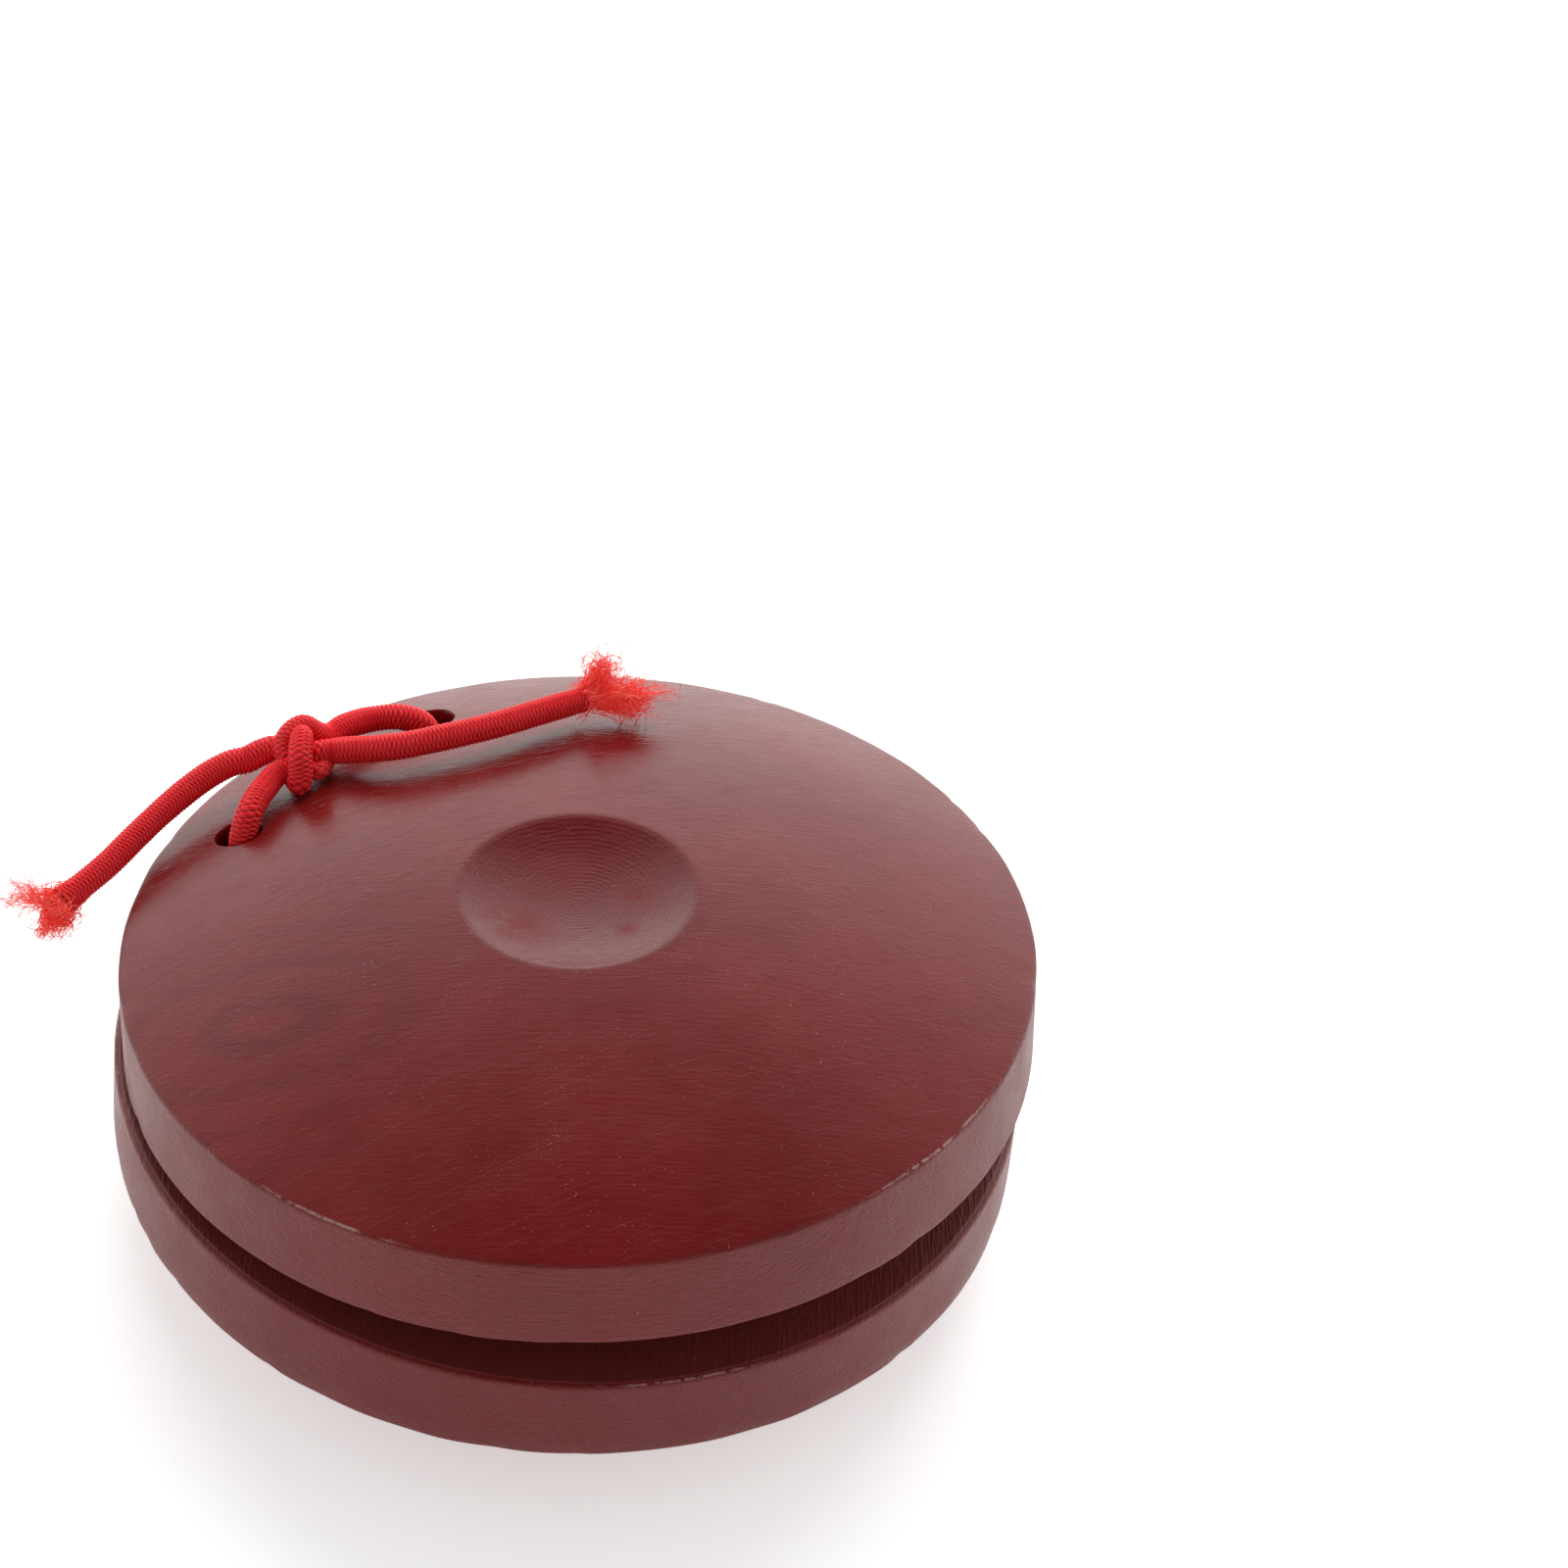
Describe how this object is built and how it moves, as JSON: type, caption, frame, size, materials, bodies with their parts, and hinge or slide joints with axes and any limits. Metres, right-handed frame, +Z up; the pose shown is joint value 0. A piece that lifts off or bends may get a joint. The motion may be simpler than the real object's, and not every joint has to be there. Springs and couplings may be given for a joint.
{
  "type": "castanets",
  "caption": "Pair of round turned-wood castanet shells, domed outside with a finger dimple and hollow inside, tied face to face by a knotted elastic cord.",
  "frame": {"origin": "on the surface that the part stands on, on the lower shell's turning axis", "axes": "+Z up along the lower shell's axis, +Y towards the cord side, +X along the ridge that the shells rock on"},
  "size_m": [0.06, 0.0606, 0.0274],
  "materials": {
    "lacquered_wood": "dark red stain under satin lacquer",
    "elastic_cord": "matte braided yarn over a rubber core"
  },
  "bodies": {
    "lower": {"lower_shell": "lacquered_wood", "cord_lower_loop": "elastic_cord"},
    "crossing": {"cord_middle_left": "elastic_cord", "cord_middle_right": "elastic_cord"},
    "upper": {"upper_shell": "lacquered_wood", "cord_upper_left": "elastic_cord", "cord_upper_right": "elastic_cord", "cord_knot": "elastic_cord", "cord_tail_left": "elastic_cord", "cord_tail_right": "elastic_cord", "cord_fray_left": "elastic_cord", "cord_fray_right": "elastic_cord"}
  },
  "joints": [
    {"name": "fold_open", "type": "hinge", "parent": "lower", "child": "crossing", "pos_m": [0, 0.0291, 0.01193], "axis": [-1, 0, 0], "range_deg": [0, 45], "stiffness_Nm_per_rad": 0.05, "springref_deg": -17.19},
    {"name": "clap", "type": "hinge", "parent": "crossing", "child": "upper", "pos_m": [0, 0.0207, 0.0124], "axis": [1, 0, 0], "range_deg": [0, 5.4], "stiffness_Nm_per_rad": 0.02, "springref_deg": -17.19}
  ]
}
